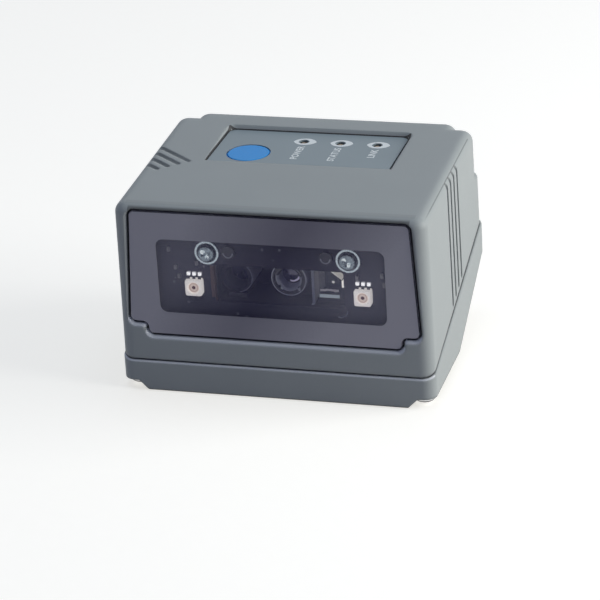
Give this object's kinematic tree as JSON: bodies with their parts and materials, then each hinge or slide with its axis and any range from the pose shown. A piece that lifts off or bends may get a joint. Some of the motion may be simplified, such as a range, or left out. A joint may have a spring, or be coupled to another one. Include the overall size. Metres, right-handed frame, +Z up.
{
  "type": "fixed barcode reader",
  "caption": "Compact fixed-mount barcode reader: drafted cover on a wedge base, tinted front window over an imaging engine, and a top status panel with a round trigger button.",
  "frame": {"origin": "middle of the part's box, at the flat underside of the base", "axes": "+Z up, the window faces -Y, +X to the right as seen from the front"},
  "size_m": [0.064, 0.0486, 0.0415],
  "materials": {
    "housing_plastic": "fine moulded satin",
    "tinted_pane": "polished, smoke tinted",
    "printed_border": "satin print",
    "gasket_foam": "matt foam",
    "overlay_film": "fine satin film",
    "blue_key": "semi gloss",
    "black_plastic": "fine matt",
    "clear_plastic": "polished",
    "white_plastic": "satin",
    "green_board": "solder mask",
    "dark_board": "dark solder mask",
    "amber_fill": "silicone",
    "bright_steel": "bright zinc",
    "chip_ceramic": "ceramic chip",
    "lens_glass": "coated glass",
    "flex_film": "amber film",
    "gland_rubber": "moulded",
    "insert_brass": "turned"
  },
  "bodies": {
    "housing": {"top_cover": "housing_plastic", "base": "housing_plastic", "window_pane": "tinted_pane", "window_mask": "printed_border", "window_gasket": "gasket_foam", "status_overlay": "overlay_film", "tact_switch": "black_plastic", "indicator_light_pipes": "clear_plastic", "indicator_leds": "white_plastic", "indicator_board": "green_board", "indicator_board_screws": "bright_steel", "illumination_board": "dark_board", "illumination_led_left": "white_plastic", "illumination_led_right": "white_plastic", "led_phosphors": "amber_fill", "led_solder_joints": "bright_steel", "board_resistors": "chip_ceramic", "engine_screws": "bright_steel", "engine_washers": "bright_steel", "engine_chassis": "black_plastic", "lens_barrel": "black_plastic", "front_lens": "lens_glass", "aimer_barrel": "black_plastic", "aimer_lens": "lens_glass", "aiming_prism": "clear_plastic", "sensor_board": "green_board", "image_sensor": "black_plastic", "sensor_flex": "flex_film", "flex_socket": "white_plastic", "main_board": "green_board", "main_board_screws": "bright_steel", "board_chips": "black_plastic", "beeper": "black_plastic", "cable_header": "white_plastic", "cable_gland": "gland_rubber", "case_screws": "bright_steel", "mounting_inserts": "insert_brass"},
    "trigger": {"trigger_button": "blue_key", "switch_plunger": "black_plastic"}
  },
  "joints": [
    {"name": "trigger_press", "type": "slide", "parent": "housing", "child": "trigger", "axis": [0, 0, -1], "range_m": [0, 0.0004], "stiffness_N_per_m": 2500}
  ]
}
